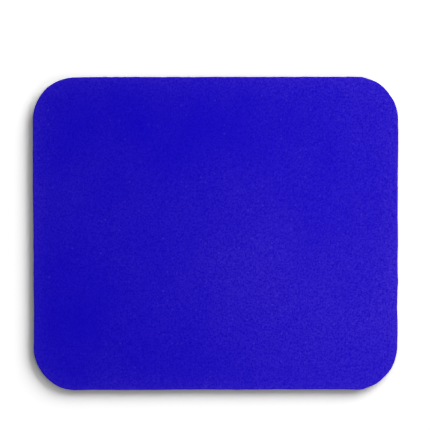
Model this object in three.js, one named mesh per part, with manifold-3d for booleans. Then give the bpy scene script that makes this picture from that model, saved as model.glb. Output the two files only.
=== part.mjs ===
// A cloth mouse pad: knitted cloth bonded to sponge rubber, die-cut to a rounded rectangle.
// Sizes are in millimetres. X runs to the user's right, Y away from the user and Z up.
// The origin is the middle of the underside, on the desk.

import * as THREE from 'three';
import { mergeVertices } from 'three/addons/utils/BufferGeometryUtils.js';
import Module from 'manifold-3d';

const wasm = await Module();
wasm.setup();

// The outline that the die cuts
const padWidth = 230;
const padDepth = 197.5;
const cornerRadius = 27;
const cornerDivisions = 5;

// The layers, from the desk up
const foamThickness = 4.3;
const bondThickness = 0.1;
const clothThickness = 0.6;

// The cut edge: the die presses the top down into a rolled shoulder,
// and the squeezed foam springs back with a slightly hollow wall
const shoulderRun = 0.9;
const shoulderDrop = 0.2;
const shoulderBands = 3;
const wallHollow = 0.3;
const wallBands = 4;

// The non-slip tread moulded in the underside: rows of zigzag V grooves
const treadPitch = 6;
const treadRun = 9;
const treadRise = 4.5;
const treadMargin = 5;
const grooveWidth = 1.2;
const grooveDepth = 0.4;
const cutOverrun = 1;

// Heights of the flat faces between the layers
const foamTop = foamThickness;
const bondTop = foamTop + bondThickness;
const clothTop = bondTop + clothThickness;

const clothMaterial = new THREE.MeshStandardMaterial({
  color: 0x2214bc,
  roughness: 0.85,
  metalness: 0,
  flatShading: true,
});

const bondMaterial = new THREE.MeshStandardMaterial({
  color: 0xc8c4b4,
  roughness: 0.5,
  metalness: 0,
  flatShading: true,
});

const foamMaterial = new THREE.MeshStandardMaterial({
  color: 0x17171a,
  roughness: 0.95,
  metalness: 0,
  flatShading: true,
});

// The cut outline drawn in by inset, anticlockwise seen from above.
// Every inset gives the same number of points, so that outlines can be lofted.
function outlineAt(inset) {
  const radius = cornerRadius - inset;
  const right = padWidth / 2 - cornerRadius;
  const back = padDepth / 2 - cornerRadius;
  const quarter = Math.PI / 2;
  const path = new THREE.Path();
  path.absarc(right, back, radius, 0, quarter);
  path.absarc(-right, back, radius, quarter, 2 * quarter);
  path.absarc(-right, -back, radius, 2 * quarter, 3 * quarter);
  path.absarc(right, -back, radius, 3 * quarter, 4 * quarter);
  return path.getPoints(cornerDivisions);
}

// One closed skin through a list of stations, each an outline's inset and its height.
// The first station is capped facing down and the last facing up.
function loft(stations) {
  const rings = stations.map((station) => outlineAt(station.inset));
  const count = rings[0].length;
  const positions = [];
  const indices = [];
  rings.forEach((ring, level) => {
    ring.forEach((point) => positions.push(point.x, point.y, stations[level].z));
  });
  for (let level = 0; level < rings.length - 1; level += 1) {
    for (let i = 0; i < count; i += 1) {
      const next = (i + 1) % count;
      const low = level * count;
      const high = low + count;
      indices.push(low + i, low + next, high + next);
      indices.push(low + i, high + next, high + i);
    }
  }
  const lastRing = (rings.length - 1) * count;
  THREE.ShapeUtils.triangulateShape(rings[0], []).forEach(([a, b, c]) => {
    indices.push(a, c, b);
  });
  THREE.ShapeUtils.triangulateShape(rings[rings.length - 1], []).forEach(([a, b, c]) => {
    indices.push(lastRing + a, lastRing + b, lastRing + c);
  });
  const geometry = new THREE.BufferGeometry();
  geometry.setAttribute('position', new THREE.Float32BufferAttribute(positions, 3));
  geometry.setIndex(indices);
  return geometry;
}

// The stations of one layer's face over the shoulder, from the cut edge in to the flat.
// All faces sink by the same parabola, so each layer keeps its thickness round the roll.
function shoulderStations(flatHeight) {
  const stations = [];
  for (let band = 0; band <= shoulderBands; band += 1) {
    const inward = band / shoulderBands;
    const sink = shoulderDrop * (1 - inward) ** 2;
    stations.push({ inset: shoulderRun * inward, z: flatHeight - sink });
  }
  return stations;
}

// A bonded layer between two flat heights: in along its underside, up the cut edge,
// and back in over its top.
function layerGeometry(lowerHeight, upperHeight) {
  const underside = shoulderStations(lowerHeight).reverse();
  const upperSide = shoulderStations(upperHeight);
  return loft([...underside, ...upperSide]);
}

// The foam's cut wall, from the desk to the layer above, hollowed by half a sine wave.
function wallStations() {
  const stations = [];
  const edgeHeight = foamTop - shoulderDrop;
  for (let band = 0; band < wallBands; band += 1) {
    const climb = band / wallBands;
    const inset = wallHollow * Math.sin(Math.PI * climb);
    stations.push({ inset, z: edgeHeight * climb });
  }
  return stations;
}

function toManifold(geometry) {
  const merged = mergeVertices(geometry);
  return new wasm.Manifold(new wasm.Mesh({
    numProp: 3,
    vertProperties: merged.attributes.position.array,
    triVerts: new Uint32Array(merged.index.array),
  }));
}

function toGeometry(solid) {
  const mesh = solid.getMesh();
  const geometry = new THREE.BufferGeometry();
  geometry.setAttribute('position', new THREE.Float32BufferAttribute(mesh.vertProperties, 3));
  geometry.setIndex(Array.from(mesh.triVerts));
  return geometry;
}

// The cutter for one zigzag groove: a V section, apex up, slid along the zigzag.
// The section stays upright to X, so each corner of the zigzag mitres by itself.
function grooveGeometry(rowY) {
  const legs = Math.ceil((padWidth / 2 + cutOverrun) / treadRun);
  const flare = (grooveWidth / 2) * (1 + cutOverrun / grooveDepth);
  const positions = [];
  const indices = [];
  for (let leg = -legs; leg <= legs; leg += 1) {
    const x = leg * treadRun;
    const y = rowY + (leg % 2 === 0 ? -treadRise / 2 : treadRise / 2);
    positions.push(x, y - flare, -cutOverrun);
    positions.push(x, y + flare, -cutOverrun);
    positions.push(x, y, grooveDepth);
  }
  const last = 2 * legs * 3;
  for (let section = 0; section < last; section += 3) {
    for (let side = 0; side < 3; side += 1) {
      const a = section + side;
      const b = section + ((side + 1) % 3);
      indices.push(a, b, b + 3);
      indices.push(a, b + 3, a + 3);
    }
  }
  indices.push(0, 2, 1);
  indices.push(last, last + 1, last + 2);
  const geometry = new THREE.BufferGeometry();
  geometry.setAttribute('position', new THREE.Float32BufferAttribute(positions, 3));
  geometry.setIndex(indices);
  return geometry;
}

// Sponge rubber with its tread. Only whole rows are cut, centred between the front and
// back edges; at the sides the grooves run out through the cut wall.
function foamGeometry() {
  const treadDepth = padDepth - 2 * treadMargin - treadRise - grooveWidth;
  const rows = Math.floor(treadDepth / treadPitch) + 1;
  let foam = toManifold(loft([...wallStations(), ...shoulderStations(foamTop)]));
  for (let row = 0; row < rows; row += 1) {
    const rowY = (row - (rows - 1) / 2) * treadPitch;
    foam = foam.subtract(toManifold(grooveGeometry(rowY)));
  }
  return toGeometry(foam);
}

function addPiece(group, name, geometry, material) {
  const mesh = new THREE.Mesh(geometry, material);
  mesh.name = name;
  group.add(mesh);
}

const mousePad = new THREE.Group();
addPiece(mousePad, 'foam_rubber_base', foamGeometry(), foamMaterial);
addPiece(mousePad, 'bond_film', layerGeometry(foamTop, bondTop), bondMaterial);
addPiece(mousePad, 'cloth_top', layerGeometry(bondTop, clothTop), clothMaterial);

export default mousePad;
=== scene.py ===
"""A cloth mouse pad: fine knitted cloth bonded to sponge rubber and die-cut to a rounded rectangle.

Laid out as a Blender add-on and run as a script. Lengths are in metres. X runs to the user's
right, Y away from the user and Z up. The origin is the middle of the underside, on the desk.
"""

import math

import bmesh
import bpy
import numpy as np
from bpy.props import FloatProperty, FloatVectorProperty, IntProperty, PointerProperty
from mathutils import Matrix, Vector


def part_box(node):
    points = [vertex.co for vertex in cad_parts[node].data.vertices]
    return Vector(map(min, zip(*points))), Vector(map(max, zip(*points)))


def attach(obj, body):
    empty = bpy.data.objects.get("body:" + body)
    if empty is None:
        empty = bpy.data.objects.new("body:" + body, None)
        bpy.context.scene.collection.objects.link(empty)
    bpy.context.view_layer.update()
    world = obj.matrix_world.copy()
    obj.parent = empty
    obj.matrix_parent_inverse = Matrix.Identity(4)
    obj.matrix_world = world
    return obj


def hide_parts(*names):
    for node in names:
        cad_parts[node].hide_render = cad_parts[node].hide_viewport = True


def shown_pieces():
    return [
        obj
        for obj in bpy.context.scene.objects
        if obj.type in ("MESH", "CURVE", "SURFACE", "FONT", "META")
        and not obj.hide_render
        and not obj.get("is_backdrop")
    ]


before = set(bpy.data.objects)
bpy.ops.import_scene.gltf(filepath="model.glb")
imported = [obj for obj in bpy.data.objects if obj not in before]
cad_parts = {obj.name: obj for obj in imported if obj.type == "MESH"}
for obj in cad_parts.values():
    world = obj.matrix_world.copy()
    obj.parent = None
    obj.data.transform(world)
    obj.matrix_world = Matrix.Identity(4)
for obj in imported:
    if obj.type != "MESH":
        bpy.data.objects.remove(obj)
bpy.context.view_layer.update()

bl_info = {
    "name": "Mouse Pad",
    "version": (1, 0, 0),
    "blender": (4, 5, 0),
    "location": "View3D > Sidebar > Mouse Pad",
    "description": "Builds a cloth mouse pad of three bonded layers, with its studio",
    "category": "Add Mesh",
}

MM = 0.001
QUARTER = math.pi / 2
TURN = 2 * math.pi

# Seeds of the random numbers. A bonded layer's is the height of its top in micrometres.
CUT_SEED = 41
SWELL_SEED = 7
WALL_SEED = 23
CELL_SEED = 5
YARN_SEED = 88

# What the frame says: the cut rectangle and the heights of the three layers
foam_low, foam_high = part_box("foam_rubber_base")
bond_low, bond_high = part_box("bond_film")
_, cloth_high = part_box("cloth_top")

# Places where the die left the cut line high or low, in millimetres: how far along the line,
# anticlockwise from the left end of the straight front edge, how far it stands out, how long
CUT_MARKS = (
    (25, 0.1, 12),
    (75, -0.1, 16),
    (102, 0.2, 4),
    (125, -0.15, 7),
    (180, 0.35, 5),
    (197, -0.35, 5),
    (213, -0.35, 12),
    (243, -0.3, 10),
    (260, 0.3, 3),
    (285, 0.25, 10),
    (350, 0.3, 16),
    (378, -0.2, 4),
    (389, 0.25, 4),
    (540, 0.1, 20),
    (583, -0.25, 9),
    (599, 0.2, 5),
    (613, -0.15, 5),
    (658, 0.15, 18),
    (712, -0.15, 12),
    (742, -0.25, 12),
    (770, 0.15, 8),
    (800, 0.4, 12),
)

# Painted sheen: places where the cloth is painted paler with a sheen, or painted with less
# of it, in millimetres from the middle: x, y, how far the place reaches along X and along Y,
# and how much paler it is
PAINTED_SHEEN_PLACES = (
    (145, -25, 245, 100, 1.45),
    (85, -10, 75, 80, -0.85),
    (-30, 70, 100, 40, -0.3),
    (105, 90, 65, 65, 0.4),
    (-120, 20, 100, 40, 0.3),
    (-120, -50, 65, 65, -0.3),
)

# The softboxes that light the pad and the floor: the azimuth from +X towards +Y and the
# elevation in degrees, the width and height for each metre of distance, and the share of light
SOFTBOXES = {
    "main_softbox": (45, 26, 0.85, 0.7, 0.37),
    "right_softbox": (-30, 32, 1.1, 0.75, 0.125),
    "back_softbox": (100, 45, 1.4, 0.8, 0.145),
}


# Settings

def length_setting(name, description, default):
    """A length in metres, shown to a hundredth of a millimetre."""
    return FloatProperty(name=name, description=description, default=default,
                         unit="LENGTH", precision=5)


def angle_setting(name, description, default):
    """An angle in radians."""
    return FloatProperty(name=name, description=description, default=default, subtype="ANGLE")


def factor_setting(name, description, default, most=2):
    """A share or factor, not less than zero."""
    return FloatProperty(name=name, description=description, default=default,
                         min=0, max=most, subtype="FACTOR")


def count_setting(name, description, default, least, most):
    """A whole number within a range."""
    return IntProperty(name=name, description=description, default=default, min=least, max=most)


def colour_setting(name, description, default, most=1):
    """A linear colour."""
    return FloatVectorProperty(name=name, description=description, default=default,
                               subtype="COLOR", size=3, min=0, max=most)


def place_setting(name, description, default):
    """A point in metres."""
    return FloatVectorProperty(name=name, description=description, default=default,
                               subtype="TRANSLATION", size=3, unit="LENGTH")


class PadSizes(bpy.types.PropertyGroup):
    """Sizes of the die-cut laminate."""

    width: length_setting(
        "Width", "Left to right over the cut line", foam_high.x - foam_low.x)
    depth: length_setting(
        "Depth", "Front to back over the cut line", foam_high.y - foam_low.y)
    corner_radius: length_setting(
        "Corner radius", "Radius of the die at each corner", 27 * MM)
    foam_top: length_setting(
        "Foam top", "Height of the foam's flat face", foam_high.z)
    bond_top: length_setting(
        "Bond top", "Height of the bond film's flat face", bond_high.z)
    cloth_top: length_setting(
        "Cloth top", "Height of the running surface", cloth_high.z)
    shoulder_run: length_setting(
        "Shoulder run", "How far in the pressed edge rolls over", 0.9 * MM)
    shoulder_drop: length_setting(
        "Shoulder drop", "How far the pressed edge sinks", foam_high.z - bond_low.z)
    wall_hollow: length_setting(
        "Wall hollow", "How far the foam's cut wall springs back", 0.3 * MM)
    film_inset: length_setting(
        "Film inset", "How far the bond film's cut edge lies behind the die's line", 0.06 * MM)
    film_bulge: length_setting(
        "Film bulge", "How far the film's cut edge bulges", 0.02 * MM)
    cloth_bulge: length_setting(
        "Cloth bulge", "How far the cloth's cut edge bulges", 0.035 * MM)
    cut_waver: length_setting(
        "Cut waver", "Typical departure of the cut from the die's line", 0.045 * MM)
    waver_reach: length_setting(
        "Waver reach", "How far in from the cut the waver dies away", 4 * MM)
    swell: length_setting(
        "Swell", "Height of the broad unevenness of the top", 0.05 * MM)
    spacing: length_setting(
        "Spacing", "Distance between the mesh lines of the flat faces", 1.6 * MM)
    fineness: count_setting(
        "Fineness", "Mesh lines at the cut edge for each one on the flat", 4, 1, 8)
    foam_spacing: length_setting(
        "Foam spacing", "Distance between the mesh lines of the foam's flat faces", 2.4 * MM)
    foam_fineness: count_setting(
        "Foam fineness", "The same fineness for the foam", 6, 1, 12)


class ClothLook(bpy.types.PropertyGroup):
    """The knitted cloth and the yarn ends at its cut edge."""

    colour: colour_setting(
        "Colour", "Royal blue dye of the cloth", (0.0060, 0.0009, 0.503))
    # Painted sheen: the dye with a pale sheen painted into it, reached where the painted sheen is
    # full
    dye_colour_with_painted_sheen: colour_setting(
        "Worn colour", "The dye where the mouse has rubbed it paler", (0.0221, 0.0089, 0.503))
    # Painted sheen: the next three settings give how much pale sheen is painted, growing to the
    # right, and the three after them add broad clouds to it
    painted_sheen_slope: factor_setting(
        "Rub slope", "How much more the cloth is rubbed a metre to the right", 2.5, most=10)
    painted_sheen_middle: factor_setting(
        "Rub in the middle", "How much the cloth is rubbed in the middle", 0.5)
    painted_sheen_full: factor_setting(
        "Rub at the worn colour", "How much rubbing gives the worn colour", 1.6)
    cloud_size: length_setting(
        "Cloud size", "Size of the broad clouds of rubbed dye", 26 * MM)
    cloud_roughness: factor_setting(
        "Cloud roughness", "Small detail in those clouds", 0.25)
    cloud_weight: factor_setting(
        "Cloud weight", "How much the clouds add to the rubbing or spare it", 0.16)
    # Loose fibre and painted light: the cloth is painted paler towards the cut, for loose pale
    # fibre and for light scattered in from the bright surroundings
    frayed_and_painted_light_colour: colour_setting(
        "Frayed colour", "Loose pale fibre towards the cut edge", (0.113, 0.057, 0.57))
    frayed_and_painted_light_reach: length_setting(
        "Frayed reach", "How far in from the cut the loose fibre thins out", 5.5 * MM)
    frayed_and_painted_light_most: factor_setting(
        "Frayed most", "How much loose fibre covers the dye at the cut", 0.1)
    wale_pitch: length_setting(
        "Wale pitch", "Distance between the knit's lengthwise ribs", 0.78 * MM)
    course_pitch: length_setting(
        "Course pitch", "Distance between the knit's rows of loops", 0.55 * MM)
    loop_wander: length_setting(
        "Loop wander", "How far the loops stray from their rows", 0.35 * MM)
    relief: length_setting(
        "Relief", "Height of the knit's loops", 0.035 * MM)
    grain_size: length_setting(
        "Grain size", "Size of the heathered grain", 0.95 * MM)
    grain_stretch: factor_setting(
        "Grain stretch", "Length of a grain along the wales for its width", 1.2)
    # Heathered grain with painted glints: the grain's pale end raises red and green far more than
    # blue, partly yarn tone and partly painted glints of fibres
    heather_and_glint_dark: colour_setting(
        "Heather dark", "Factor on the dye at the grain's darkest", (0.34, 0.06, 0.915))
    heather_and_glint_pale: colour_setting(
        "Heather pale", "Factor on the dye at the grain's palest", (1.66, 1.94, 1.085), most=4)
    # Lint and painted glints: pale specks, partly lint and partly painted glints of fibres, more of
    # them where the sheen is painted
    lint_and_glint_colour: colour_setting(
        "Lint colour", "Specks of lint", (0.12, 0.09, 0.75))
    lint_and_glint_cover: factor_setting(
        "Lint cover", "How much a speck covers the dye", 0.33)
    lint_and_glint_spacing: length_setting(
        "Lint spacing", "Distance between the places that could hold a speck", 3 * MM)
    lint_and_glint_size: length_setting(
        "Lint size", "Radius of a speck", 0.7 * MM)
    lint_and_glint_rarity: factor_setting(
        "Lint rarity", "Share of the places that stay clean on unrubbed cloth", 0.98)
    lint_and_glint_gain: factor_setting(
        "Lint gain", "How much smaller that share is on worn cloth", 0.52)
    sheen_tint: colour_setting(
        "Sheen tint", "Tint of the light that the fibres scatter", (0.35, 0.3, 1.0))
    fibre_count: count_setting(
        "Yarn ends", "Cut yarn ends that stand out round the edge", 1500, 0, 5000)
    fibre_length: length_setting(
        "Yarn end length", "Longest free length of a cut yarn end", 0.6 * MM)
    fibre_radius: length_setting(
        "Yarn end radius", "Radius of a cut yarn end at its root", 0.03 * MM)


class RubberLook(bpy.types.PropertyGroup):
    """The sponge rubber with its moulded tread, and the film of adhesive on it."""

    foam_colour: colour_setting(
        "Foam colour", "Carbon black sponge rubber", (0.014, 0.014, 0.0155))
    bond_colour: colour_setting(
        "Bond colour", "Cured laminating adhesive", (0.50, 0.47, 0.38))
    cell_size: length_setting(
        "Cell size", "Width of the largest cells that the cut opens", 0.9 * MM)
    cell_depth: length_setting(
        "Cell depth", "Depth of an opened cell", 0.16 * MM)
    fine_cell_size: length_setting(
        "Fine cell size", "Width of the cells drawn by the foam's material", 0.45 * MM)
    printed_cell_size: length_setting(
        "Printed cell size", "Width of the cells that print through the film", 0.6 * MM)
    bloom_size: length_setting(
        "Bloom size", "Size of the clouds of grey bloom on the tread", 14 * MM)
    tread_pitch: length_setting(
        "Tread pitch", "Distance between rows of the tread", 6 * MM)
    tread_run: length_setting(
        "Tread run", "Length of one leg of the zigzag along X", 9 * MM)
    tread_rise: length_setting(
        "Tread rise", "Height of the zigzag along Y", 4.5 * MM)
    tread_margin: length_setting(
        "Tread margin", "Plain strip at the front and back edges", 5 * MM)
    groove_width: length_setting(
        "Groove width", "Width of a groove at the underside", 1.2 * MM)
    groove_depth: length_setting(
        "Groove depth", "Depth of a groove", 0.4 * MM)


class StudioLook(bpy.types.PropertyGroup):
    """The camera above the pad, the lights and the white floor."""

    camera_height: length_setting(
        "Camera distance", "From the lens to the cloth", 1.0)
    field: length_setting(
        "Field", "Width that the picture covers at the cloth", 271.15 * MM)
    aim: place_setting(
        "Aim", "Point of the cloth in the middle of the picture", (-0.26 * MM, 11.79 * MM, 5 * MM))
    camera_tilt: angle_setting(
        "Tilt", "Lean of the camera from straight down", math.radians(1.45))
    camera_roll: angle_setting(
        "Roll", "Turn of the camera about its own line of sight", math.radians(-0.092))
    softbox_distance: length_setting(
        "Softbox distance", "From the pad to the softboxes", 8.0)
    side_share: factor_setting(
        "Side share", "Part of the pad's light that comes from the right", 0.335)
    side_place: place_setting(
        "Side place", "Middle of the side light, which faces left",
        (240 * MM, 190 * MM, 200 * MM))
    side_length: length_setting(
        "Side length", "Length of the side light along Y", 1.0)
    side_height: length_setting(
        "Side height", "Height of the side light", 100 * MM)
    fill_share: factor_setting(
        "Fill share", "Part of the pad's light that comes from the front left", 0.025)
    fill_place: place_setting(
        "Fill place", "Middle of the fill light, which faces the pad", (-1.2, -1.6, 0.4))
    fill_size: length_setting(
        "Fill size", "Side of the square fill light", 0.7)
    sky_share: factor_setting(
        "Sky share", "Part of the light that comes from all round", 0.0191)
    floor_gain: factor_setting(
        "Floor gain", "How bright the camera sees the lit floor", 1.105, most=4)
    floor_tint: colour_setting(
        "Floor tint", "Tint of the floor, seen where the shadow falls", (1.0, 0.988, 0.988))
    floor_reach: length_setting(
        "Floor reach", "From the middle to each side of the floor", 6.0)
    floor_fade: length_setting(
        "Floor fade", "Distance from the pad's middle where the floor starts to fade", 0.30)
    floor_end: length_setting(
        "Floor end", "Distance where it has faded to plain white light", 0.55)


class MousePadSettings(bpy.types.PropertyGroup):
    """Everything that the mouse pad's operators read."""

    sizes: PointerProperty(type=PadSizes)
    cloth: PointerProperty(type=ClothLook)
    rubber: PointerProperty(type=RubberLook)
    studio: PointerProperty(type=StudioLook)


# Shapes

class CutLine:
    """The rounded rectangle that the die cuts, as whole arrays, anticlockwise seen from above.

    A point at an inset is core + (radius - inset) * normal. The core runs round the rectangle
    that the four corner centres span, and stands still at a corner while the normal turns a
    quarter there. The waver is added along the normal and dies away inwards.
    """

    def __init__(self, sizes, spacing, fineness=1):
        self.radius = sizes.corner_radius
        self.waver_reach = sizes.waver_reach
        half = np.array([sizes.width, sizes.depth]) / 2 - self.radius
        self.columns = round(2 * half[0] / spacing) * fineness
        self.rows = round(2 * half[1] / spacing) * fineness
        bends = round(self.radius * QUARTER / spacing) * fineness
        self.half = half
        corners = half * np.array([[-1, -1], [1, -1], [1, 1], [-1, 1]])
        core, angle = [], []
        for turn, steps in enumerate((self.columns, self.rows, self.columns, self.rows)):
            start, end = corners[turn], corners[(turn + 1) % 4]
            share = np.arange(steps)[:, None] / steps
            core += [start + (end - start) * share, np.tile(end, (bends, 1))]
            facing = (turn - 1) * QUARTER
            angle += [np.full(steps, facing), facing + np.arange(bends) / bends * QUARTER]
        self.core = np.concatenate(core)
        angle = np.concatenate(angle)
        self.normal = np.stack([np.cos(angle), np.sin(angle)], axis=1)
        self.count = len(self.core)
        edge = self.core + self.radius * self.normal
        step = np.linalg.norm(np.roll(edge, -1, axis=0) - edge, axis=1)
        self.length = step.sum()
        self.along = np.concatenate([[0.0], np.cumsum(step)[:-1]])
        self.waver = self.worked_waver(sizes.cut_waver)

    def worked_waver(self, typical):
        """Departure of the cut from the die's line: waves of random phase that shorten and
        weaken together, plus a bell curve at each mark."""
        fewest, most = 5, 150
        weakening = -0.6
        faintest = 0.4
        bell_share = 0.6
        rng = np.random.default_rng(CUT_SEED)
        orders = np.arange(fewest, most)
        phases = rng.uniform(0, TURN, len(orders))
        weights = orders ** weakening * rng.uniform(faintest, 1.0, len(orders))
        weights *= math.sqrt(2 / (weights ** 2).sum())
        turns = TURN * self.along[:, None] / self.length * orders
        waver = typical * (np.sin(turns + phases) * weights).sum(axis=1)
        for way, height, length in CUT_MARKS:
            ahead = np.abs(self.along - way * MM)
            away = np.minimum(ahead, self.length - ahead)
            waver += height * MM * np.exp(-0.5 * (away / (length * MM * bell_share)) ** 2)
        return waver

    def ring(self, inset, height, extra=0.0):
        """The cut line drawn in by inset at a height, with its waver and an extra array of
        outward offsets."""
        fade = math.exp(-inset / self.waver_reach) if inset < self.radius else 0.0
        out = self.radius - inset + self.waver * fade + extra
        points = self.core + out[:, None] * self.normal
        return np.column_stack([points, np.full(self.count, height)])

    def plate(self, height):
        """The core rectangle as a grid of points at a height, row by row."""
        x = np.linspace(-self.half[0], self.half[0], self.columns + 1)
        y = np.linspace(-self.half[1], self.half[1], self.rows + 1)
        grid_x, grid_y = np.meshgrid(x, y)
        return np.column_stack([grid_x.ravel(), grid_y.ravel(), np.full(grid_x.size, height)])

    def plate_rim(self):
        """For each point of a ring, the number of the plate's point at its core."""
        share = (self.core + self.half) / (2 * self.half)
        column = np.rint(share[:, 0] * self.columns).astype(int)
        row = np.rint(share[:, 1] * self.rows).astype(int)
        return row * (self.columns + 1) + column

    def plate_quads(self):
        """The plate's faces, turned up."""
        wide = self.columns + 1
        corner = np.arange(self.rows)[:, None] * wide + np.arange(self.columns)
        quads = np.stack([corner, corner + 1, corner + 1 + wide, corner + wide], axis=-1)
        return quads.reshape(-1, 4)


class LayerSkin:
    """The closed mesh of one layer, which grows ring by ring, each joined to the last one. It
    starts from a plate underneath and goes outwards on a coarse cut line, over to a fine one at
    the edge, up the side, back to the coarse one and in over the top to another plate."""

    def __init__(self, sizes, spacing, fineness):
        self.sizes = sizes
        self.coarse = CutLine(sizes, spacing)
        self.fine = CutLine(sizes, spacing, fineness)
        self.fineness = fineness
        first = 2 * sizes.shoulder_run
        steps = round((sizes.corner_radius - first) / spacing)
        self.insets = np.linspace(first, sizes.corner_radius, steps + 1)[:-1]
        self.rim = self.coarse.plate_rim()
        self.points = []
        self.faces = []
        self.total = 0
        self.under = None
        self.last = None

    def add(self, points):
        """Keeps points and gives their numbers."""
        numbers = self.total + np.arange(len(points))
        self.points.append(points)
        self.total += len(points)
        return numbers

    def join(self, ring):
        """Faces up from the last ring to one of the same count, which is then the last. A side
        that shrinks to a point at a plate's corner leaves a triangle."""
        low, high = self.last, ring
        low_next, high_next = np.roll(low, -1), np.roll(high, -1)
        quads = np.stack([low, low_next, high_next, high], axis=1)
        flat_low, flat_high = low == low_next, high == high_next
        self.faces += quads[~(flat_low | flat_high)].tolist()
        self.faces += quads[flat_low][:, [0, 2, 3]].tolist()
        self.faces += quads[flat_high][:, [0, 1, 2]].tolist()
        self.last = ring

    def grow(self, rings):
        """Adds and joins rings of points in turn."""
        for points in rings:
            self.join(self.add(points))

    def spans(self, fine):
        """The points of a fine ring that lie from each point of the coarse one to the next."""
        group = fine.reshape(-1, self.fineness)
        ahead = np.roll(fine, -self.fineness).reshape(-1, self.fineness)[:, :1]
        return np.concatenate([group, ahead], axis=1)

    def start_under(self, height):
        """The plate underneath and the coarse rings round it."""
        self.under = self.add(self.coarse.plate(height))
        self.last = self.under[self.rim]
        self.grow(self.coarse.ring(inset, height) for inset in self.insets[::-1])

    def step_out(self, points):
        """Faces from the last coarse ring out to a fine one."""
        ring = self.add(points)
        inner = np.stack([self.last, np.roll(self.last, -1)], axis=1)
        self.faces += np.concatenate([inner, self.spans(ring)[:, ::-1]], axis=1).tolist()
        self.last = ring

    def over_shoulder(self, insets, flat):
        """Fine rings on the rolled shoulder of a face whose flat is at a height."""
        return [self.fine.ring(inset, shoulder_height(inset, flat, self.sizes))
                for inset in insets]

    def finish_over(self, height):
        """Faces from the last fine ring in to the coarse rings and the plate on top, and the
        faces of both plates."""
        ring = self.add(self.coarse.ring(self.insets[0], height))
        inner = np.stack([np.roll(ring, -1), ring], axis=1)
        self.faces += np.concatenate([self.spans(self.last), inner], axis=1).tolist()
        self.last = ring
        self.grow(self.coarse.ring(inset, height) for inset in self.insets[1:])
        top = self.add(self.coarse.plate(height))
        self.join(top[self.rim])
        quads = self.coarse.plate_quads()
        self.faces += self.under[quads[:, ::-1]].tolist() + top[quads].tolist()

    def settled(self):
        """All points as one array, lifted by the swell in proportion to their height, so the
        underside stays flat."""
        points = np.concatenate(self.points)
        points[:, 2] += self.sizes.swell * swell_at(points) * points[:, 2] / self.sizes.cloth_top
        return points


def swell_at(points):
    """Broad unevenness, mostly between -1 and 1: the sum of long sine waves in random
    directions, over the square root of how many they are."""
    waves = 9
    shortest, longest = 32 * MM, 95 * MM
    rng = np.random.default_rng(SWELL_SEED)
    rates = TURN / rng.uniform(shortest, longest, waves)
    bearings = rng.uniform(0, math.pi, waves)
    phases = rng.uniform(0, TURN, waves)
    turns = points[:, :1] * np.cos(bearings) * rates + points[:, 1:2] * np.sin(bearings) * rates
    return np.sin(turns + phases).sum(axis=1) / math.sqrt(waves)


def shoulder_height(inset, flat, sizes):
    """The rolled shoulder's parabola: it sinks by the drop at the cut and nothing at the run."""
    inward = min(1.0, inset / sizes.shoulder_run)
    return flat - sizes.shoulder_drop * (1 - inward) ** 2


def inset_at(points, sizes):
    """How far in from the die's line points lie: the corner radius, less how far they are
    beyond the core rectangle, or plus how deep they are within it."""
    core = np.array([sizes.width, sizes.depth]) / 2 - sizes.corner_radius
    beyond = np.abs(points[:, :2]) - core
    outside = np.linalg.norm(np.clip(beyond, 0, None), axis=1)
    within = np.clip(beyond.max(axis=1), None, 0)
    return sizes.corner_radius - outside - within


def opened_cells(line, height, size):
    """Depth from 0 to 1 of the cells that the cut opens in foam at a height. Each square of a
    grid wrapped round the cut line holds one round pit, whose middle and radius are random. Its
    depth is the smoothstep of 1 - distance / radius, and the deepest pit counts."""
    wide = round(line.length / size)
    tall = 12
    rows_below = 2
    nearest, farthest = 0.1, 0.9
    smallest, largest = 0.28, 0.72
    rng = np.random.default_rng(CELL_SEED)
    jitter = rng.uniform(nearest, farthest, (wide, tall, 2))
    radius = rng.uniform(smallest, largest, (wide, tall))
    u = line.along / line.length * wide
    v = np.full(line.count, height / size + rows_below)
    column, row = np.floor(u).astype(int), np.floor(v).astype(int)
    depth = np.zeros_like(u)
    for side in (-1, 0, 1):
        for rise in (-1, 0, 1):
            i, j = column + side, row + rise
            middle = jitter[i % wide, j % tall]
            away = np.hypot(u - i - middle[:, 0], v - j - middle[:, 1])
            share = np.clip(1 - away / radius[i % wide, j % tall], 0, 1)
            depth = np.maximum(depth, share * share * (3 - 2 * share))
    return depth


def layer_skin(sizes, low, high, inset, bulge):
    """A bonded layer between two flat heights, closed: out over the shoulder's parabola
    underneath, up the cut side, whose bulge is half a sine wave with random roughness, and back
    over the top in the same way."""
    run = sizes.shoulder_run
    under_rings = 4
    side_climbs = (0.3, 0.6, 0.85)
    side_roughness = 0.5
    top_shares = np.array([0.03, 0.14, 0.32, 0.55, 0.78, 1])
    rng = np.random.default_rng(round(high / MM * 1000))
    skin = LayerSkin(sizes, sizes.spacing, sizes.fineness)
    skin.start_under(low)
    first, *others = skin.over_shoulder(np.linspace(run, inset, under_rings), low)
    skin.step_out(first)
    skin.grow(others)
    foot, head = (shoulder_height(inset, flat, sizes) for flat in (low, high))
    for climb in side_climbs:
        rough = rng.normal(0, side_roughness, skin.fine.count)
        extra = bulge * (math.sin(math.pi * climb) + rough)
        skin.grow([skin.fine.ring(inset, foot + (head - foot) * climb, extra)])
    skin.grow(skin.over_shoulder(inset + (run - inset) * top_shares, high))
    skin.finish_over(high)
    return skin.settled(), skin.faces


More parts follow.
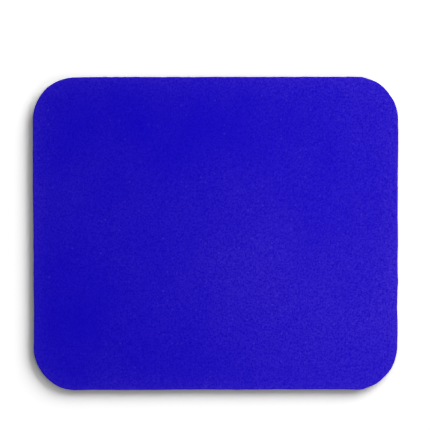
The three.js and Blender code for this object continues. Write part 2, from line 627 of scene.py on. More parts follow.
def foam_skin(sizes, rubber):
    """The foam, closed: a flat underside, the cut wall hollowed by half a sine wave and pitted
    by opened cells, and the shoulder and flat that the film lies on."""
    wall_rings = 12
    shoulder_rings = 5
    wall_grain = 0.012 * MM
    last_pitted, pit_evenness = 0.96, 0.4
    edge = sizes.foam_top - sizes.shoulder_drop
    rng = np.random.default_rng(WALL_SEED)
    skin = LayerSkin(sizes, sizes.foam_spacing, sizes.foam_fineness)
    skin.start_under(0.0)
    skin.step_out(skin.fine.ring(sizes.shoulder_run, 0.0))
    skin.grow([skin.fine.ring(0.0, 0.0)])
    for climb in np.linspace(0, 1, wall_rings)[1:]:
        height = edge * climb
        hollow = sizes.wall_hollow * math.sin(math.pi * climb)
        pits = opened_cells(skin.fine, height, rubber.cell_size)
        open_share = math.sin(math.pi * min(last_pitted, climb)) ** pit_evenness
        grain = rng.normal(0, wall_grain, skin.fine.count) * (climb < 1)
        extra = grain - hollow - rubber.cell_depth * pits * open_share
        skin.grow([skin.fine.ring(0.0, height, extra)])
    insets = np.linspace(0, sizes.shoulder_run, shoulder_rings)[1:]
    skin.grow(skin.over_shoulder(insets, sizes.foam_top))
    skin.finish_over(sizes.foam_top)
    return skin.settled(), skin.faces


def tread_cutter(sizes, rubber):
    """All the tread's grooves: a rounded V section, square to X, carried along a zigzag. A
    section is z = depth * (1 - |t| ** power) over t from -1 to 1, closed below the underside.
    The zigzag is the arcsine of a cosine whose sharpness under 1 rounds its corners."""
    overrun = 1 * MM
    section_points = 7
    section_power = 1.6
    sharpness = 0.992
    leg_shares = np.array([0, 0.07, 0.5, 0.93])
    depth_used = sizes.depth - 2 * rubber.tread_margin - rubber.tread_rise - rubber.groove_width
    rows = math.floor(depth_used / rubber.tread_pitch) + 1
    legs = math.ceil((sizes.width / 2 + overrun) / rubber.tread_run)
    turns = np.append((np.arange(-legs, legs)[:, None] + leg_shares).ravel(), legs)
    zigzag = -np.arcsin(sharpness * np.cos(math.pi * turns)) / math.asin(sharpness)
    t = np.linspace(-1, 1, section_points)
    curve = rubber.groove_depth * (1 - np.abs(t) ** section_power)
    curve[[0, -1]] = 0.0
    section_y = np.concatenate([t, [1.0, -1.0]]) * rubber.groove_width / 2
    section_z = np.concatenate([curve, [-overrun] * 2])
    row_y = (np.arange(rows) - (rows - 1) / 2) * rubber.tread_pitch
    x = turns * rubber.tread_run
    y = row_y[:, None, None] + zigzag[:, None] * rubber.tread_rise / 2 + section_y
    points = np.stack(np.broadcast_arrays(x[:, None], y, section_z), axis=-1).reshape(-1, 3)
    number = np.arange(y.size).reshape(y.shape)
    here, ahead = number[:, :-1], number[:, 1:]
    sides = np.stack([here, ahead, np.roll(ahead, -1, axis=2), np.roll(here, -1, axis=2)], -1)
    faces = sides.reshape(-1, 4).tolist()
    faces += number[:, 0].tolist() + number[:, -1, ::-1].tolist()
    return points, faces


def yarn_ends(sizes, cloth):
    """Short fibres round the cloth's cut side. Each is a three-sided tube about the curve
    root + length * (t * direction + t * t * bend), which thins to a point at t = 1."""
    root_depth, root_scatter = 0.06 * MM, 0.2 * MM
    shortest_share = 0.25
    thinnest, thickest, thinning = 0.6, 1.2, 0.6
    lean_spread = 0.55
    mean_rise, rise_spread = 0.05, 0.35
    curl_spread = 0.35
    mean_droop, droop_spread = 0.15, 0.3
    spoke_lean = 0.3
    sides = 3
    ring_places = np.array([0.0, 0.4, 0.75])
    rng = np.random.default_rng(YARN_SEED)
    line = CutLine(sizes, sizes.spacing, sizes.fineness)
    count = cloth.fibre_count
    at = rng.integers(0, line.count, count)
    edge = line.ring(0.0, 0.0)[at]
    out = np.column_stack([line.normal[at], np.zeros(count)])
    side = np.column_stack([-out[:, 1], out[:, 0], np.zeros(count)])
    up = np.array([0.0, 0.0, 1.0])
    low = shoulder_height(0.0, sizes.bond_top, sizes)
    high = shoulder_height(0.0, sizes.cloth_top, sizes)
    root = edge + up * rng.uniform(low, high, (count, 1)) - out * root_depth
    root += side * rng.uniform(-root_scatter, root_scatter, (count, 1))
    lean = rng.normal(0, lean_spread, (count, 1))
    rise = rng.normal(mean_rise, rise_spread, (count, 1))
    direction = unit_rows(out + side * lean + up * rise)
    bend = side * rng.normal(0, curl_spread, (count, 1))
    bend += up * rng.normal(-mean_droop, droop_spread, (count, 1))
    shares = shortest_share + (1 - shortest_share) * rng.random((count, 1, 1)) ** 2
    length = shares * cloth.fibre_length
    t = ring_places[None, :, None]
    middle = root[:, None] + length * (t * direction[:, None] + t * t * bend[:, None])
    tip = root + length[:, 0] * (direction + bend)
    thickness = rng.uniform(thinnest, thickest, (count, 1, 1))
    radius = cloth.fibre_radius * thickness * (1 - thinning * t)
    across = unit_rows(np.cross(direction, up + spoke_lean * side))
    over = np.cross(direction, across)
    angle = np.arange(sides)[None, :, None] * TURN / sides
    spoke = np.cos(angle) * across[:, None] + np.sin(angle) * over[:, None]
    tubes = (middle[:, :, None] + radius[..., None] * spoke[:, None]).reshape(count, -1, 3)
    points = np.concatenate([tubes, tip[:, None]], axis=1)
    here = np.arange(sides)
    ahead = np.roll(here, -1)
    band = np.stack([here, ahead, sides + ahead, sides + here], axis=1)
    last = tubes.shape[1] - sides
    quads = np.concatenate([start + band for start in range(0, last, sides)])
    cone = np.stack([last + here, last + ahead, np.full(sides, last + sides)], axis=1)
    ends = np.concatenate([cone, here[None, ::-1]])
    first = np.arange(count)[:, None, None] * points.shape[1]
    faces = (first + quads).reshape(-1, 4).tolist() + (first + ends).reshape(-1, 3).tolist()
    return points.reshape(-1, 3), faces


def unit_rows(vectors):
    """Each row made one long."""
    return vectors / np.linalg.norm(vectors, axis=1)[:, None]


# Meshes

def bare_object(name, points, faces):
    """A linked mesh object of these points and faces."""
    mesh = bpy.data.meshes.new(name)
    mesh.from_pydata(np.asarray(points).tolist(), [], faces)
    made = bpy.data.objects.new(name, mesh)
    bpy.context.scene.collection.objects.link(made)
    return made


def make_object(name, points, faces):
    """A piece of the pad from these points and faces, smooth except at real edges."""
    made = bare_object(name, points, faces)
    if made.data.validate():
        raise RuntimeError(f"{name}: the mesh has faulty faces")
    round_off(made.data)
    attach(made, "root")
    return made


def round_off(mesh):
    """Smooth shading, kept crisp where faces meet at more than the angle."""
    crisp_angle = math.radians(38)
    mesh.polygons.foreach_set("use_smooth", np.ones(len(mesh.polygons), dtype=bool))
    mesh.set_sharp_from_angle(angle=crisp_angle)


def volume_of(mesh):
    """The volume inside a closed mesh, which is negative where it is inside out."""
    shape = bmesh.new()
    shape.from_mesh(mesh)
    volume = shape.calc_volume(signed=True)
    shape.free()
    return volume


def cut_tread(base, points, faces):
    """Takes the closed shape of the tread's grooves out of the base."""
    least_left, most_left = 0.95, 0.995
    uncut = volume_of(base.data)
    cutter = bare_object("tread_cutter", points, faces)
    cut = base.modifiers.new("tread", "BOOLEAN")
    cut.operation = "DIFFERENCE"
    cut.solver = "MANIFOLD"
    cut.object = cutter
    bpy.context.view_layer.update()
    depsgraph = bpy.context.evaluated_depsgraph_get()
    treaded = bpy.data.meshes.new_from_object(base.evaluated_get(depsgraph))
    base.modifiers.clear()
    base.data = treaded
    base.data.materials.clear()
    bpy.data.objects.remove(cutter)
    if not least_left < volume_of(treaded) / uncut < most_left:
        raise RuntimeError("the tread wasn't cut")
    round_off(treaded)


def values_of(items, key, width=1, kind=np.float32):
    """One property of every item, as an array."""
    found = np.empty(len(items) * width, dtype=kind)
    items.foreach_get(key, found)
    return found.reshape(-1, width) if width > 1 else found


def lay_out_map(mesh, sizes, side):
    """Draws the map that a bake of a layer goes through. Faces that look to the better side, 1
    for up and -1 for down, lie flat in it at full size. Below them the cut wall is unrolled in
    four strips, one for each quarter of the outline, and the other side fills what is left.

    Along a quarter the way is y + radius * angle + (half width - x), each held at its corner.
    """
    margin = 0.006
    steep = 0.6
    half = np.array([sizes.width, sizes.depth]) / 2 - sizes.corner_radius
    totals = values_of(mesh.polygons, "loop_total", kind=np.int32)
    face = np.repeat(np.arange(len(totals)), totals)
    rise = values_of(mesh.polygons, "normal", 3)[face, 2]
    quarter = np.where(values_of(mesh.polygons, "center", 3)[face, :2] < 0, -1.0, 1.0)
    place = values_of(mesh.vertices, "co", 3)
    low, high = place.min(axis=0), place.max(axis=0)
    scale = (1 - 2 * margin) / (high[0] - low[0])
    place = place[values_of(mesh.loops, "vertex_index", kind=np.int32)]
    across = np.where(rise > 0, place[:, 0] - low[0], high[0] - place[:, 0])
    floor = 1 - margin - (high[1] - low[1]) * scale
    flat = np.column_stack([across * scale + margin, floor + (place[:, 1] - low[1]) * scale])
    turned = place[:, :2] * quarter
    beyond = np.clip(turned - half, 0, None)
    held = np.minimum(turned, half)
    way = held[:, 1] + half[0] - held[:, 0]
    way += sizes.corner_radius * np.arctan2(beyond[:, 1], beyond[:, 0])
    round_way = half.sum() + sizes.corner_radius * QUARTER
    mirrored = quarter.prod(axis=1) < 0
    way = np.where(mirrored, round_way - way, way)
    pitch = (high[2] - low[2]) * scale + margin
    strip = (quarter[:, 0] < 0) + 2.0 * (quarter[:, 1] < 0)
    floor -= 4 * pitch + margin
    wall = np.column_stack([
        2 * margin + way * scale, floor + strip * pitch + (place[:, 2] - low[2]) * scale])
    rest = (floor - 2 * margin) / (high[1] - low[1])
    back = np.column_stack([flat[:, 0], margin + (place[:, 1] - low[1]) * rest])
    drawn = np.where((rise * side > steep)[:, None], flat, wall)
    drawn = np.where((rise * side < -steep)[:, None], back, drawn)
    layer = mesh.uv_layers.new(name="OFBake")
    layer.data.foreach_set("uv", drawn.astype(np.float32).ravel())


# Materials

class Wiring:
    """A node tree that is wired as it is written. Inputs are sockets or plain values."""

    def __init__(self, tree):
        self.tree = tree

    def feed(self, socket, value):
        """Links a source to a socket, or sets a plain value on it."""
        if isinstance(value, bpy.types.NodeSocket):
            self.tree.links.new(value, socket)
        else:
            socket.default_value = value

    def node(self, kind, inputs=None, **settings):
        """A node with its settings and inputs, which are named or numbered."""
        made = self.tree.nodes.new(kind)
        for key, value in settings.items():
            setattr(made, key, value)
        for key, value in (inputs or {}).items():
            self.feed(made.inputs[key], value)
        return made

    def group(self, tree, **inputs):
        """The outputs of an effect placed with its own values."""
        return self.node("ShaderNodeGroup", inputs, node_tree=tree).outputs

    def plug(self, shader, **sockets):
        """Feeds the shader's sockets, named with _ for each space."""
        for key, value in sockets.items():
            self.feed(shader.inputs[key.replace("_", " ")], value)

    def math(self, operation, *values, clamp=False):
        """The result of one Math node."""
        return self.node("ShaderNodeMath", dict(enumerate(values)), operation=operation,
                         use_clamp=clamp).outputs[0]

    def times(self, first, second):
        """The product of two values."""
        return self.math("MULTIPLY", first, second)

    def vector(self, operation, first, second=None, scale=None):
        """The outputs of one Vector Math node: a vector, then a value."""
        inputs = {0: first, 1: second, 3: scale}
        given = {key: value for key, value in inputs.items() if value is not None}
        return self.node("ShaderNodeVectorMath", given, operation=operation).outputs

    def axes(self, vector):
        """The three parts of a vector."""
        return self.node("ShaderNodeSeparateXYZ", {0: vector}).outputs

    def blend(self, factor, first, second, blend_type="MIX"):
        """A colour between two, or their product at a factor of 1 with MULTIPLY."""
        return self.node("ShaderNodeMix", {0: factor, 6: first, 7: second}, data_type="RGBA",
                         blend_type=blend_type).outputs[2]

    def remap(self, value, low, high, to_low=0.0, to_high=1.0, kind="SMOOTHSTEP"):
        """A value carried from one range to another, held at both ends."""
        return self.node("ShaderNodeMapRange", {
            "Value": value, "From Min": low, "From Max": high,
            "To Min": to_low, "To Max": to_high}, interpolation_type=kind).outputs[0]

    def between(self, share, low, high):
        """The value at a share of the way from one to another."""
        return self.remap(share, 0.0, 1.0, low, high, kind="LINEAR")

    def noise(self, vector, scale, detail=2.0, roughness=0.5):
        """Plain noise from 0 to 1: a value, then a colour."""
        return self.node("ShaderNodeTexNoise", {
            "Vector": vector, "Scale": scale, "Detail": detail, "Roughness": roughness}).outputs

    def scatter(self, vector, scale, **settings):
        """Scattered points: the distance to the nearest, then its random colour."""
        return self.node("ShaderNodeTexVoronoi", {
            "Vector": vector, "Scale": scale, "Randomness": 1.0}, **settings).outputs

    def grain(self, vector, size, stretch=1.0, roughness=0.6):
        """The grain effect's factor."""
        return self.group(grain_effect(), Vector=vector, Size=size, Stretch=stretch,
                          Roughness=roughness)["Factor"]

    def bump(self, height, distance):
        """The normal over a relief."""
        return self.node("ShaderNodeBump", {"Height": height, "Distance": distance}).outputs[0]

    def mixed(self, factor, first, second):
        """A shader between two."""
        return self.node("ShaderNodeMixShader", {0: factor, 1: first, 2: second}).outputs[0]

    def watched(self):
        """1 for a ray from the camera or from a reflection, and 0 for a ray of light."""
        ray = self.node("ShaderNodeLightPath").outputs
        mirrored = self.math("MAXIMUM", ray["Is Glossy Ray"], ray["Is Transmission Ray"])
        return self.math("MAXIMUM", ray["Is Camera Ray"], mirrored)


def effect(name, inputs, outputs, wire):
    """A shader node group, built once. Its inputs have their usual values, or None for a vector,
    and its outputs are values. wire(wiring, inputs) gives the outputs in order."""
    tree = bpy.data.node_groups.get(name)
    if tree:
        return tree
    tree = bpy.data.node_groups.new(name, "ShaderNodeTree")
    for label, default in inputs.items():
        kind = "NodeSocketVector" if default is None else "NodeSocketFloat"
        socket = tree.interface.new_socket(name=label, in_out="INPUT", socket_type=kind)
        if default is not None:
            socket.default_value = default
    for label in outputs:
        tree.interface.new_socket(name=label, in_out="OUTPUT", socket_type="NodeSocketFloat")
    entry = tree.nodes.new("NodeGroupInput")
    leave = tree.nodes.new("NodeGroupOutput")
    for number, result in enumerate(wire(Wiring(tree), entry.outputs)):
        tree.links.new(result, leave.inputs[number])
    return tree


def knit_effect():
    """Plain knit seen from its face. Across a wale the two legs of each loop rise as the sine
    of the way from its middle to its rim; along it they slope into a row of chevrons."""
    wander_rate = 260.0
    slope = 0.8

    def wire(w, given):
        wander = w.noise(given["Vector"], wander_rate)[1]
        centred = w.vector("SUBTRACT", wander, (0.5, 0.5, 0.5))[0]
        pushed = w.vector("SCALE", centred, scale=given["Jitter"])[0]
        place = w.axes(w.vector("ADD", given["Vector"], pushed)[0])
        wale = w.math("FRACT", w.math("DIVIDE", place[0], given["Wale"]))
        across = w.times(w.math("ABSOLUTE", w.math("SUBTRACT", wale, 0.5)), 2.0)
        leg = w.math("SINE", w.times(across, math.pi))
        course = w.math("DIVIDE", place[1], given["Course"])
        chevron = w.times(w.math("ADD", course, w.times(across, slope)), TURN)
        loop = w.math("MULTIPLY_ADD", w.math("COSINE", chevron), 0.5, 0.5)
        body = w.math("MULTIPLY_ADD", loop, 0.5, 0.5)
        return (w.times(leg, body),)
    return effect("knit loops", {"Vector": None, "Wale": MM, "Course": MM, "Jitter": 0.0},
                  ["Height"], wire)


def grain_effect():
    """Irregular grain round 0.5, of a size and stretched along Y. Roughness adds small detail."""
    lowest, highest = 0.34, 0.66

    def wire(w, given):
        scale = w.math("DIVIDE", 1.0, given["Size"])
        place = w.axes(given["Vector"])
        drawn = w.math("DIVIDE", place[1], given["Stretch"])
        vector = w.node("ShaderNodeCombineXYZ", {0: place[0], 1: drawn, 2: place[2]}).outputs[0]
        fine = w.noise(vector, scale, detail=3.0, roughness=given["Roughness"])[0]
        return (w.remap(fine, lowest, highest, kind="LINEAR"),)
    return effect("grain", {"Vector": None, "Size": MM, "Stretch": 1.0, "Roughness": 0.6},
                  ["Factor"], wire)


def cells_effect():
    """Foam cells: round hollows of mixed size with thin walls between them."""
    finer = 2.6
    floor, large_rim, small_rim = 0.1, 0.62, 0.6
    large_weight, small_weight = 0.65, 0.35

    def wire(w, given):
        scale = w.math("DIVIDE", 1.0, given["Size"])
        large = w.scatter(given["Vector"], scale)[0]
        small = w.scatter(given["Vector"], w.times(scale, finer))[0]
        deep = w.times(w.remap(large, floor, large_rim), large_weight)
        height = w.math("MULTIPLY_ADD", w.remap(small, floor, small_rim), small_weight, deep)
        return (height, w.math("SUBTRACT", 1.0, height, clamp=True))
    return effect("foam cells", {"Vector": None, "Size": 0.5 * MM}, ["Height", "Hollow"], wire)


def lint_and_glint_effect():
    """Sparse specks of lint and painted fibre glints: small spots round a few points of a wide
    scatter over X and Y.
    """
    weakest = 0.12
    strong_rarity = 3.5

    def wire(w, given):
        spots = w.scatter(given["Vector"], w.math("DIVIDE", 1.0, given["Spacing"]),
                          voronoi_dimensions="2D")
        reach = w.math("DIVIDE", given["Size"], given["Spacing"])
        near = w.math("SUBTRACT", 1.0, w.math("DIVIDE", spots[0], reach), clamp=True)
        lots = w.node("ShaderNodeSeparateColor", {0: spots[1]}).outputs
        chosen = w.math("GREATER_THAN", lots[0], given["Rarity"])
        strength = w.math("MULTIPLY_ADD", w.math("POWER", lots[1], strong_rarity),
                          1 - weakest, weakest)
        return (w.times(w.times(near, chosen), strength),)
    return effect("lint specks", {
        "Vector": None, "Spacing": 10 * MM, "Size": 0.5 * MM, "Rarity": 0.5}, ["Mask"], wire)


def shaded(name):
    """A new material with its wiring and shader, and the object's own coordinates."""
    material = bpy.data.materials.new(name)
    material.use_nodes = True
    wiring = Wiring(material.node_tree)
    shader = material.node_tree.nodes["Principled BSDF"]
    place = wiring.node("ShaderNodeTexCoord").outputs["Object"]
    return material, wiring, shader, place


def scaled(colour, factor=1.0, most=1.0):
    """A colour made lighter or darker, as four numbers, none of them over the most."""
    return tuple(min(most, channel * factor) for channel in colour) + (1.0,)


def sheen_painted(w, place, cloth):
    """How much pale sheen is painted on the cloth: a ramp to the right, plus a soft bell over
    each listed place, which falls from 1 at its middle to 0 at its reach. The dye colour with
    the painted sheen is at 1."""
    total = w.math("MULTIPLY_ADD", w.axes(place)[0], cloth.painted_sheen_slope, cloth.painted_sheen_middle)
    for x, y, reach_x, reach_y, gain in PAINTED_SHEEN_PLACES:
        local = w.node("ShaderNodeMapping", {
            "Vector": place, "Location": (x * MM, y * MM, 0.0),
            "Scale": (reach_x * MM, reach_y * MM, 1.0)}, vector_type="TEXTURE").outputs[0]
        away = w.vector("LENGTH", local)["Value"]
        total = w.math("MULTIPLY_ADD", w.remap(away, 0.0, 1.0, 1.0, 0.0), gain, total)
    return w.math("DIVIDE", total, cloth.painted_sheen_full)


def cloth_material(cloth):
    """Dyed polyester knit: loops in relief with painted shade in their valleys, heathered grain
    along the wales with painted fibre glints in it, a painted sheen that is paler to the right
    and in patches, paler towards the cut for loose fibre and painted scattered light, and
    specks of lint and painted glints, most of them where the sheen is painted."""
    valley_painted_shade, crown_painted_tone = 0.96, 1.02
    knit_weight, grain_weight = 0.8, 0.35
    rough_low, rough_high = 0.95, 0.80
    material, w, shader, place = shaded("blue_knit")
    inset = w.node("ShaderNodeAttribute", attribute_name="inset").outputs["Fac"]
    # Loose fibre and painted light scattered in from the bright surroundings, fading inwards from
    # the cut
    frayed_and_painted_light = w.math("EXPONENT", w.math("DIVIDE", inset, -cloth.frayed_and_painted_light_reach))
    knit = w.group(knit_effect(), Vector=place, Wale=cloth.wale_pitch,
                   Course=cloth.course_pitch, Jitter=cloth.loop_wander)["Height"]
    fine = w.grain(place, cloth.grain_size, cloth.grain_stretch)
    clouds = w.grain(place, cloth.cloud_size, cloth.grain_stretch, cloth.cloud_roughness)
    # Painted sheen: how much pale sheen is painted, growing to the right, in patches and in broad
    # clouds
    painted_sheen = w.math("MULTIPLY_ADD", w.math("SUBTRACT", clouds, 0.5), cloth.cloud_weight,
                  sheen_painted(w, place, cloth), clamp=True)
    # Specks of lint and painted glints, commoner where the sheen is painted
    rarity = w.math("MULTIPLY_ADD", painted_sheen, -cloth.lint_and_glint_gain, cloth.lint_and_glint_rarity)
    lint_and_glints = w.group(lint_and_glint_effect(), Vector=place, Spacing=cloth.lint_and_glint_spacing,
                   Size=cloth.lint_and_glint_size, Rarity=rarity)["Mask"]
    dye_with_painted_sheen = w.blend(painted_sheen, scaled(cloth.colour), scaled(cloth.dye_colour_with_painted_sheen))
    # Paler towards the cut: loose pale fibre and painted scattered light
    dye = w.blend(w.times(frayed_and_painted_light, cloth.frayed_and_painted_light_most), dye_with_painted_sheen, scaled(cloth.frayed_and_painted_light_colour))
    # Heathered grain, partly yarn tone and partly painted fibre glints
    heather_and_glints = w.blend(fine, scaled(cloth.heather_and_glint_dark), scaled(cloth.heather_and_glint_pale, most=4.0))
    # Painted shade: the knit's valleys are coloured a little darker than the crowns of the loops
    toned = w.vector("SCALE", w.blend(1.0, dye, heather_and_glints, "MULTIPLY"),
                     scale=w.between(knit, valley_painted_shade, crown_painted_tone))[0]
    # Lint and painted glints laid over the dye
    final = w.blend(w.times(lint_and_glints, cloth.lint_and_glint_cover), toned, scaled(cloth.lint_and_glint_colour))
    relief = w.math("MULTIPLY_ADD", knit, knit_weight, w.times(fine, grain_weight))
    w.plug(shader, Base_Color=final, Roughness=w.between(knit, rough_low, rough_high),
           Normal=w.bump(relief, cloth.relief), Specular_IOR_Level=0.06,
           Sheen_Weight=0.02, Sheen_Roughness=0.45, Sheen_Tint=scaled(cloth.sheen_tint))
    return material


def yarn_material(cloth):
    """The same dyed yarn, cut: a little darker in places than the dye, and paler in others."""
    grain_size, grain_relief = 0.8 * MM, 0.01 * MM
    darkest, palest = 0.8, 1.1
    material, w, shader, place = shaded("cut_yarn")
    fine = w.grain(place, grain_size)
    # The pale end of the yarn's grain is the dye colour with the painted sheen
    dye = w.blend(fine, scaled(cloth.colour, darkest), scaled(cloth.dye_colour_with_painted_sheen, palest))
    w.plug(shader, Base_Color=dye, Roughness=0.85, Normal=w.bump(fine, grain_relief),
           Specular_IOR_Level=0.1)
    return material


def bond_material(rubber):
    """Cured adhesive: cloudy, with the foam's cells printing through."""
    cloud_size, cell_relief = 1.6 * MM, 0.03 * MM
    darkest, palest = 0.72, 1.1
    foam_tone, foam_cover = 3.0, 0.35
    rough_low, rough_high = 0.42, 0.62
    material, w, shader, place = shaded("cured_bond")
    cloud = w.grain(place, cloud_size)
    cells = w.group(cells_effect(), Vector=place, Size=rubber.printed_cell_size)
    tone = w.blend(cloud, scaled(rubber.bond_colour, darkest), scaled(rubber.bond_colour, palest))
    final = w.blend(w.times(cells["Hollow"], foam_cover), tone,
                    scaled(rubber.foam_colour, foam_tone))
    w.plug(shader, Base_Color=final, Roughness=w.between(cloud, rough_low, rough_high),
           Normal=w.bump(cells["Height"], cell_relief))
    return material


def foam_material(rubber):
    """Sponge rubber: open cells on the cut wall, with painted shade in their hollows, a moulded
    skin underneath, and clouds of grey bloom on the tread's lands."""
    skin_size, relief_depth = 0.35 * MM, 0.09 * MM
    cut_low, cut_high = 0.05 * MM, 0.5 * MM
    land_low, land_high = 0.03 * MM, 0.12 * MM
    wall_tone, hollow_painted_shade_tone = 1.5, 0.45
    skin_dark, skin_pale = 0.9, 1.5
    bloom_tone, bloom_cover = 3.6, 0.5
    skin_relief, skin_relief_lost = 0.35, 0.3
    skin_rough, wall_rough = 0.72, 0.98
    material, w, shader, place = shaded("sponge_rubber")

    def toned(tone):
        return scaled(rubber.foam_colour, tone)

    cells = w.group(cells_effect(), Vector=place, Size=rubber.fine_cell_size)
    skin_grain = w.grain(place, skin_size)
    bloom = w.grain(place, rubber.bloom_size)
    height = w.axes(place)[2]
    cut = w.remap(height, cut_low, cut_high)
    land = w.remap(height, land_low, land_high, 1.0, 0.0)
    # Painted shade: the opened cells' hollows are coloured darker than the walls between them
    dark = w.blend(cells["Hollow"], toned(wall_tone), toned(hollow_painted_shade_tone))
    moulded = w.blend(skin_grain, toned(skin_dark), toned(skin_pale))
    dusty = w.blend(w.times(w.times(bloom, land), bloom_cover), moulded, toned(bloom_tone))
    skin_share = w.math("SUBTRACT", skin_relief, w.times(cut, skin_relief_lost))
    relief = w.math("ADD", w.times(cells["Height"], cut), w.times(skin_grain, skin_share))
    w.plug(shader, Base_Color=w.blend(cut, dusty, dark),
           Roughness=w.between(cut, skin_rough, wall_rough),
           Normal=w.bump(relief, relief_depth), Specular_IOR_Level=0.0)
    return material


def floor_material(studio):
    """White floor. The camera sees it bright enough to be pure white where the softboxes and
    the sky reach it, and fading to plain white light well away from the pad."""
    mottle_size = 3 * MM
    paper = (0.8, 0.8, 0.8)
    paper_mottle, seen_mottle = 0.01, 0.001
    material = bpy.data.materials.new("white_floor")
    material.use_nodes = True
    w = Wiring(material.node_tree)
    w.tree.nodes.remove(w.tree.nodes["Principled BSDF"])
    place = w.node("ShaderNodeTexCoord").outputs["Object"]
    mottle = w.grain(place, mottle_size)

    def mottled(colour, gain, strength):
        low, high = (scaled(colour, gain * factor, most=4.0)
                     for factor in (1 - strength, 1 + strength))
        tone = w.blend(mottle, low, high)
        return w.node("ShaderNodeBsdfDiffuse", {"Color": tone}).outputs[0]

    share = sum(softbox[-1] for softbox in SOFTBOXES.values()) + studio.sky_share
    plain = mottled(paper, 1.0, paper_mottle)
    bright = mottled(studio.floor_tint, studio.floor_gain / share, seen_mottle)
    away = w.vector("LENGTH", place)["Value"]
    far = w.remap(away, studio.floor_fade, studio.floor_end)
    glow = w.node("ShaderNodeEmission", {"Color": (1.0, 1.0, 1.0, 1.0)}).outputs[0]
    surface = w.mixed(w.watched(), plain, w.mixed(far, bright, glow))
    w.tree.links.new(surface, w.tree.nodes["Material Output"].inputs["Surface"])
    return material


def world_shader(studio):
    """Even light from all round, and plain white where the camera or a reflection sees it."""
    world = bpy.data.worlds.new("studio")
    bpy.context.scene.world = world
    world.use_nodes = True
    w = Wiring(world.node_tree)
    w.tree.nodes.clear()
    lit, seen = (w.node("ShaderNodeBackground", {
        "Color": (1.0, 1.0, 1.0, 1.0), "Strength": strength}).outputs[0]
        for strength in (studio.sky_share, 1.0))
    output = w.node("ShaderNodeOutputWorld")
    w.tree.links.new(w.mixed(w.watched(), lit, seen), output.inputs["Surface"])


# Operators

class MOUSEPAD_OT_foam_base(bpy.types.Operator):
    """Build the sponge rubber base with its cut wall and moulded tread."""

    bl_idname = "mouse_pad.foam_base"
    bl_label = "Foam Base"

    def execute(self, context):
        settings = context.scene.mouse_pad
        sizes, rubber = settings.sizes, settings.rubber
        base = make_object("foam_base", *foam_skin(sizes, rubber))
        cut_tread(base, *tread_cutter(sizes, rubber))
        lay_out_map(base.data, sizes, side=-1)
        base.data.materials.append(foam_material(rubber))
        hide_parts("foam_rubber_base")
        return {"FINISHED"}


class MOUSEPAD_OT_bond_line(bpy.types.Operator):
    """Build the film of cured adhesive between the cloth and the foam."""

    bl_idname = "mouse_pad.bond_line"
    bl_label = "Bond Line"

    def execute(self, context):
        settings = context.scene.mouse_pad
        sizes = settings.sizes
        film = make_object("bond_line", *layer_skin(
            sizes, sizes.foam_top, sizes.bond_top, sizes.film_inset, sizes.film_bulge))
        film.data.materials.append(bond_material(settings.rubber))
        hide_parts("bond_film")
        return {"FINISHED"}


class MOUSEPAD_OT_yarn_ends(bpy.types.Operator):
    """Build the cut yarn ends that stand out round the cloth's edge."""

    bl_idname = "mouse_pad.yarn_ends"
    bl_label = "Cut Yarn Ends"

    def execute(self, context):
        settings = context.scene.mouse_pad
        fringe = make_object("cut_yarn_ends", *yarn_ends(settings.sizes, settings.cloth))
        fringe.data.materials.append(yarn_material(settings.cloth))
        return {"FINISHED"}


class MOUSEPAD_OT_cloth(bpy.types.Operator):
    """Build the knitted cloth, the running surface."""

    bl_idname = "mouse_pad.cloth"
    bl_label = "Knitted Cloth"

    def execute(self, context):
        settings = context.scene.mouse_pad
        sizes = settings.sizes
        points, faces = layer_skin(
            sizes, sizes.bond_top, sizes.cloth_top, 0.0, sizes.cloth_bulge)
        cloth = make_object("knitted_cloth", points, faces)
        lay_out_map(cloth.data, sizes, side=1)
        inset = cloth.data.attributes.new("inset", "FLOAT", "POINT")
        inset.data.foreach_set("value", inset_at(points, sizes))
        cloth.data.materials.append(cloth_material(settings.cloth))
        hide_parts("cloth_top")
        return {"FINISHED"}


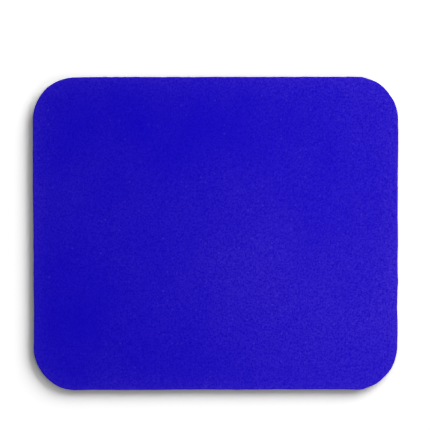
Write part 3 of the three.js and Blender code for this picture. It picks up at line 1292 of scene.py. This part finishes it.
class MOUSEPAD_OT_studio(bpy.types.Operator):
    """Build the white floor, the lights and the camera above the pad."""

    bl_idname = "mouse_pad.studio"
    bl_label = "Studio"

    def execute(self, context):
        studio = context.scene.mouse_pad.studio
        self.floor(studio)
        for name, softbox in SOFTBOXES.items():
            self.softbox(name, studio.softbox_distance, *softbox)
        self.pad_lights(studio)
        world_shader(studio)
        self.camera(studio)
        context.scene.view_settings.view_transform = "Standard"
        return {"FINISHED"}

    def floor(self, studio):
        """A wide flat floor at the height of the pad's underside."""
        reach = studio.floor_reach
        corners = [(-reach, -reach, 0), (reach, -reach, 0), (reach, reach, 0), (-reach, reach, 0)]
        floor = bare_object("floor", corners, [(0, 1, 2, 3)])
        floor.data.materials.append(floor_material(studio))
        floor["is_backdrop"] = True

    def lamp(self, name, place, facing, width, height, share):
        """An area light that faces along a direction, with its width level, and gives a share
        of the light at the pad's middle. The power is share * pi ** 2 over the mean, across
        the panel, of both cosines over the square of the distance."""
        panel_steps = 24
        forward = np.array(facing, float) / np.linalg.norm(facing)
        level = np.cross(forward, [0.0, 0.0, 1.0])
        level /= np.linalg.norm(level)
        above = np.cross(level, forward)
        steps = (np.arange(panel_steps) + 0.5) / panel_steps - 0.5
        across, upward = (grid.ravel()[:, None] for grid in np.meshgrid(
            steps * width, steps * height))
        ray = np.array(place) + across * level + upward * above
        square = (ray ** 2).sum(axis=1)
        falls = np.clip(ray[:, 2], 0, None) * np.clip(-ray @ forward, 0, None) / square ** 2
        data = bpy.data.lights.new(name, "AREA")
        data.shape = "RECTANGLE"
        data.size, data.size_y = width, height
        data.energy = share * math.pi ** 2 / falls.mean()
        light = bpy.data.objects.new(name, data)
        columns = [(*level, 0.0), (*above, 0.0), (*-forward, 0.0), (*place, 1.0)]
        light.matrix_world = Matrix(columns).transposed()
        light.visible_camera = False
        bpy.context.scene.collection.objects.link(light)
        return light

    def softbox(self, name, distance, azimuth, elevation, width, height, share):
        """A softbox far off, aimed at the pad. All together give the shadow its shape."""
        around, up = math.radians(azimuth), math.radians(elevation)
        level = [math.cos(up) * math.cos(around), math.cos(up) * math.sin(around)]
        direction = np.array([*level, math.sin(up)])
        self.lamp(name, direction * distance, -direction, width * distance, height * distance,
                  share)

    def pad_lights(self, studio):
        """Two lights for the pad alone, so that the floor's shadow stays: a low strip to the
        right whose light falls off evenly to the left, and a weak fill on the front walls."""
        side = self.lamp("side_light", tuple(studio.side_place), (-1.0, 0.0, 0.0),
                         studio.side_length, studio.side_height, studio.side_share)
        fill = self.lamp("fill_light", tuple(studio.fill_place), -np.array(studio.fill_place),
                         studio.fill_size, studio.fill_size, studio.fill_share)
        lit = bpy.data.collections.new("lit_by_pad_lights")
        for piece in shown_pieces():
            lit.objects.link(piece)
        for light in (side, fill):
            light.light_linking.receiver_collection = lit

    def camera(self, studio):
        """A long lens above the pad, a little to the back of the point that it looks at."""
        data = bpy.data.cameras.new("camera")
        data.sensor_width = 36.0
        data.lens = data.sensor_width * studio.camera_height / studio.field
        data.clip_start, data.clip_end = 0.05, 50.0
        camera = bpy.data.objects.new("camera", data)
        tilt = studio.camera_tilt
        back = np.array([0.0, math.sin(tilt), math.cos(tilt)]) * studio.camera_height
        camera.location = np.array(studio.aim) + back
        camera.rotation_euler = (-tilt, 0.0, studio.camera_roll)
        bpy.context.scene.collection.objects.link(camera)
        bpy.context.scene.camera = camera


class MOUSEPAD_PT_panel(bpy.types.Panel):
    """Lists the mouse pad's operators and settings."""

    bl_idname = "MOUSEPAD_PT_panel"
    bl_label = "Mouse Pad"
    bl_space_type = "VIEW_3D"
    bl_region_type = "UI"
    bl_category = "Mouse Pad"

    def draw(self, context):
        settings = context.scene.mouse_pad
        for operator in OPERATORS:
            self.layout.operator(operator.bl_idname)
        for part in (settings.sizes, settings.cloth, settings.rubber, settings.studio):
            box = self.layout.box()
            for name in part.__annotations__:
                box.prop(part, name)


GROUPS = (PadSizes, ClothLook, RubberLook, StudioLook, MousePadSettings)
OPERATORS = (
    MOUSEPAD_OT_foam_base,
    MOUSEPAD_OT_bond_line,
    MOUSEPAD_OT_yarn_ends,
    MOUSEPAD_OT_cloth,
    MOUSEPAD_OT_studio,
)
CLASSES = GROUPS + OPERATORS + (MOUSEPAD_PT_panel,)


def register():
    """Makes the classes and the scene's settings known to Blender."""
    for each in CLASSES:
        bpy.utils.register_class(each)
    bpy.types.Scene.mouse_pad = PointerProperty(type=MousePadSettings)


def unregister():
    """Takes them away again."""
    del bpy.types.Scene.mouse_pad
    for each in reversed(CLASSES):
        bpy.utils.unregister_class(each)


def main():
    """Builds the pad and its studio."""
    register()
    bpy.ops.mouse_pad.foam_base()
    bpy.ops.mouse_pad.bond_line()
    bpy.ops.mouse_pad.yarn_ends()
    bpy.ops.mouse_pad.cloth()
    bpy.ops.mouse_pad.studio()


if __name__ == "__main__":
    main()
